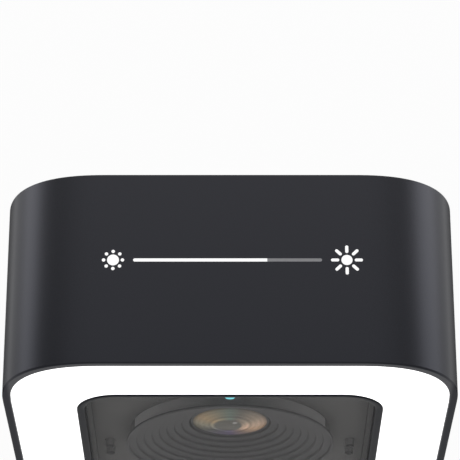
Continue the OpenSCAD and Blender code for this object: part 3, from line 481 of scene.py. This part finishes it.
# ---- Camera ----
# The hood is a matt black moulding whose steps trap stray light. The lens sits at its bottom: a metal
# barrel with a domed, coated front glass.
black = matt("black_plastic", (0.02, 0.02, 0.021), (0.028, 0.028, 0.029), 0.5, 1500, 0.00001)
dress(black, "module_shell", "lens_holder", "lens_barrel", "ir_cut_shuttle", "button_carrier", "button_clip")
dress(matt("mask_black", (0.135, 0.135, 0.133), (0.15, 0.15, 0.147), 0.8, 1200), "inner_mask")
glass_low, glass_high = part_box("lens_front_glass")
lens_z = 500 * (glass_low.z + glass_high.z)
steps = [(28.2 - 2.1 * (i + j), 3.8 + 0.8 * i) for i in range(8) for j in (0, 1)]
profile = softened([(27.6, 10), (27.6, 3.8), (28.8, 3.8), (28.8, 3.0), (28.2, 3.0)] + steps
                   + [(11.4, 12), (13, 12), (26.2, 6.5), (26.2, 18.5), (27.6, 18.5), (27.6, 10)], 0.3)
hood = lathe("lens_hood", profile, 0, lens_z, segments=160)
material = matt("hood_black", (0.105, 0.105, 0.109), (0.115, 0.115, 0.12), 0.6, 1500,
                Specular_IOR_Level=0.2)
tree = material.node_tree
shader = tree.nodes["Principled BSDF"]
# Painted light and shade on the outer wall: it is painted lighter than the rest of the hood to make up for
# the shade under the rim, and grows paler from its middle towards each side as painted highlights, then is
# dark again at the very side.
spot = tree.nodes.new("ShaderNodeTexCoord").outputs["Object"]
axes = tree.nodes.new("ShaderNodeSeparateXYZ")
tree.links.new(spot, axes.inputs[0])
across = reckon("Math", "ABSOLUTE", axes.outputs["X"])
above = reckon("Math", "SUBTRACT", axes.outputs["Z"], lens_z / 1000)
across_squared = reckon("Math", "MULTIPLY", across, across)
above_squared = reckon("Math", "MULTIPLY", above, above)
radius = reckon("Math", "SQRT", reckon("Math", "ADD", across_squared, above_squared))
painted_side_light = reckon("Math", "MULTIPLY", spread(across, 0.004, 0.0262), reckon("Math", "LESS_THAN", across, 0.0263))
side = blended(painted_side_light, (0.19, 0.19, 0.19, 1), (0.66, 0.66, 0.67, 1))
outer = reckon("Math", "MULTIPLY", reckon("Math", "GREATER_THAN", radius, 0.02745),
               reckon("Math", "GREATER_THAN", axes.outputs["Y"], (front + 3.85) / 1000))
base = shader.inputs["Base Color"].links[0].from_socket
tree.links.new(blended(outer, base, side), shader.inputs["Base Color"])
place(hood, "housing", "hood_black", material, "lens_hood")

# The dome is part of a ball of radius R: f = f0 + R - sqrt(R^2 - r^2).
glass_radius, glass_rise, glass_front = 10.4, 1.3, 8.6
reach = np.linspace(0, glass_radius, 24)
ball = (glass_radius ** 2 + glass_rise ** 2) / (2 * glass_rise)
dome = np.column_stack([reach, glass_front + ball - np.sqrt(ball ** 2 - reach ** 2)])
rim = [(glass_radius, 10.2), (glass_radius, 12.5), (0, 12.5)]
glass = lathe("lens_glass", np.vstack([dome, rim]), 0, lens_z, False)
material, tree, shader, add = node_tree("lens_painted_reflections")
# Painted reflections: the colour that changes round the glass stands for coloured reflections of the lamps in
# its coating, lighter and darker rings of painted reflection and shade run round its middle, and a small
# painted highlight lies up and to one side. The coordinates are centred on the lens, with 1 at the edge of
# the glass.
spot = add("TexCoord").outputs["Object"]
per_metre = 96.15
local = add("Mapping", Vector=spot, Location=(0, 0, -lens_z / glass_radius),
            Scale=(per_metre, 0, per_metre)).outputs[0]
axes = add("SeparateXYZ", Vector=local)
distance = reckon("VectorMath", "LENGTH", local, out=1)
turn = reckon("Math", "ARCTAN2", axes.outputs["Z"], axes.outputs["X"])
painted_reflection_tint = add("ValToRGB", Fac=spread(turn, -np.pi, np.pi))
colour_stops(painted_reflection_tint, [
    (0.0, (0.23, 0.21, 0.14)), (0.1, (0.13, 0.14, 0.135)), (0.25, (0.15, 0.13, 0.23)),
    (0.33, (0.26, 0.2, 0.19)), (0.42, (0.62, 0.43, 0.3)), (0.5, (0.52, 0.38, 0.28)),
    (0.58, (0.28, 0.23, 0.18)), (0.69, (0.13, 0.125, 0.11)), (0.75, (0.125, 0.17, 0.15)),
    (0.81, (0.19, 0.19, 0.14)), (0.92, (0.34, 0.25, 0.14)), (1.0, (0.23, 0.21, 0.14))])
rings = add("ValToRGB", Fac=distance)
colour_stops(rings, [(position, (grey, grey, grey)) for position, grey in [
    (0.0, 0.9), (0.4, 0.8), (0.48, 1.15), (0.55, 0.6), (0.64, 0.9), (0.7, 0.78), (0.78, 0.95),
    (0.84, 0.75), (0.9, 0.8), (1.0, 0.3)]])
inward = reckon("Math", "ADD", distance, reckon("Math", "MULTIPLY", axes.outputs["X"], 0.16))
colour = blended(spread(inward, 0.33, 0.41), (0.085, 0.085, 0.072, 1), painted_reflection_tint.outputs[0])
colour = blended(1.0, colour, rings.outputs[0], "MULTIPLY")
brighter = (2.4, 2.3, 2.15, 1)
colour = blended(1.0, colour, brighter, "MULTIPLY")
glint = reckon("VectorMath", "DISTANCE", local, (0.13, 0, 0.2), out=1)
colour = blended(spread(glint, 0.02, 0.09, 1, 0), colour, (0.75, 0.72, 0.7, 1))
tree.links.new(colour, shader.inputs["Base Color"])
shader.inputs["Roughness"].default_value = 0.08
shader.inputs["Specular IOR Level"].default_value = 0.15
place(glass, "housing", "lens_glass", material, "lens_front_glass")

# Four infrared diodes behind the window, two on each side of the hood, and the status light's pipe.
material = matt("infrared_diode", (0.24, 0.24, 0.24), (0.28, 0.28, 0.28), 0.4, 800)
tree = material.node_tree
shader = tree.nodes["Principled BSDF"]
axes = tree.nodes.new("ShaderNodeSeparateXYZ")
tree.links.new(tree.nodes["Texture Coordinate"].outputs["Object"], axes.inputs[0])
diode_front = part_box("infrared_leds")[0].y
face = spread(axes.outputs["Y"], diode_front + 0.0001, diode_front + 0.0003)
base = shader.inputs["Base Color"].links[0].from_socket
tree.links.new(blended(face, (0.004, 0.003, 0.005, 1), base), shader.inputs["Base Color"])
shader.inputs["Specular IOR Level"].default_value = 0.05
dress(material, "infrared_leds")
cyan = matt("status_pipe", (0.02, 0.1, 0.11), (0.03, 0.12, 0.13), 0.3, 500,
            Emission_Color=(0.10, 0.54, 0.60, 1), Emission_Strength=1.0)
dress(cyan, "status_light")
# The tip is a half disc with its round side down: x = r cos(a), z = r sin(a).
pipe_z = pipe_high.z * 1000
tip_radius = 1.3
angle = np.linspace(np.pi, 2 * np.pi, 25)
size = np.array([0, 1, 1, 0])[:, None]
behind = np.array([0.55, 0.55, 1.0, 1.0])[:, None]
half_disc = np.stack([tip_radius * size * np.cos(angle), front + behind + 0 * angle,
                      pipe_z - 0.5 + size * (0.5 + tip_radius * np.sin(angle))], -1)
tip = surface("status_tip", half_disc, False, True)
tip.data.materials.append(cyan)
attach(tip, "housing")

# ---- Inner works ----
# Glass-fibre boards with their parts, the spring and screws of steel, and the metal chassis plate that
# stands behind the light panel. The filter's two panes and the camera's flat cable are here too.
board = matt("circuit_board", (0.01, 0.05, 0.03), (0.015, 0.08, 0.045), 0.4, 300)
dress(board, "touch_board", "sensor_board", "infrared_boards", "motion_radar", "wifi_antenna", "button_board",
      "main_board", "power_board")
chips = matt("chip_black", (0.02, 0.02, 0.02), (0.05, 0.05, 0.05), 0.45, 200)
dress(chips, "main_chips", "power_parts", "button_switch", "reset_switch", "microphone", "speaker_driver",
      "ir_cut_frame", "image_sensor")
steel = matt("steel", (0.5, 0.5, 0.5), (0.6, 0.6, 0.6), 0.3, 700, Metallic=1.0)
dress(steel, "chassis_screws", "module_screws", "board_screws", "rear_cover_screws", "lock_screw",
      "button_spring")
dress(matt("chassis_metal", (0.5, 0.5, 0.51), (0.58, 0.58, 0.59), 0.45, 150, Metallic=1.0), "chassis_plate")
dress(matt("filter_glass", (0.3, 0.1, 0.1), (0.35, 0.12, 0.12), 0.1), "ir_cut_panes")
dress(matt("flex_film", (0.35, 0.15, 0.03), (0.45, 0.2, 0.05), 0.35, 400), "camera_flex")

# ---- Call button ----
# A dished cap in satin black plastic with a white bell sign, inside a milky light ring. A clip holds it
# in its carrier and a spring returns it. The reset key in the underside has the same plastic.
dress(matt("button_black", (0.022, 0.022, 0.023), (0.03, 0.03, 0.031), 0.3, 1500, 0.00001),
      "button_cap", "reset_key")
dress(matt("sign_white", (0.8, 0.8, 0.8), (0.86, 0.86, 0.86), 0.35), "button_icon")
dress(matt("ring_pipe", (0.55, 0.58, 0.6), (0.62, 0.65, 0.67), 0.25, 300), "button_ring")

# ---- Back and wall mount ----
# A moulded rear cover with the wiring pocket, screwed to the band's bosses, and a foam seal against the
# wall. The unit hangs on a galvanised bracket that is screwed to the wall.
dress(matt("cover_black", (0.03, 0.03, 0.031), (0.045, 0.045, 0.046), 0.6, 1800, 0.00003), "rear_cover",
      "speaker_chamber")
dress(matt("foam_black", (0.015, 0.015, 0.015), (0.04, 0.04, 0.04), 0.95, 1400, 0.0002), "wall_seal")
dress(matt("terminal_grey", (0.5, 0.5, 0.48), (0.56, 0.56, 0.54), 0.45), "terminal_block")
dress(matt("lead_red", (0.3, 0.03, 0.02), (0.36, 0.05, 0.03), 0.45), "supply_leads")
dress(matt("galvanised", (0.5, 0.51, 0.53), (0.68, 0.69, 0.7), 0.38, 120, Metallic=1.0), "wall_bracket")
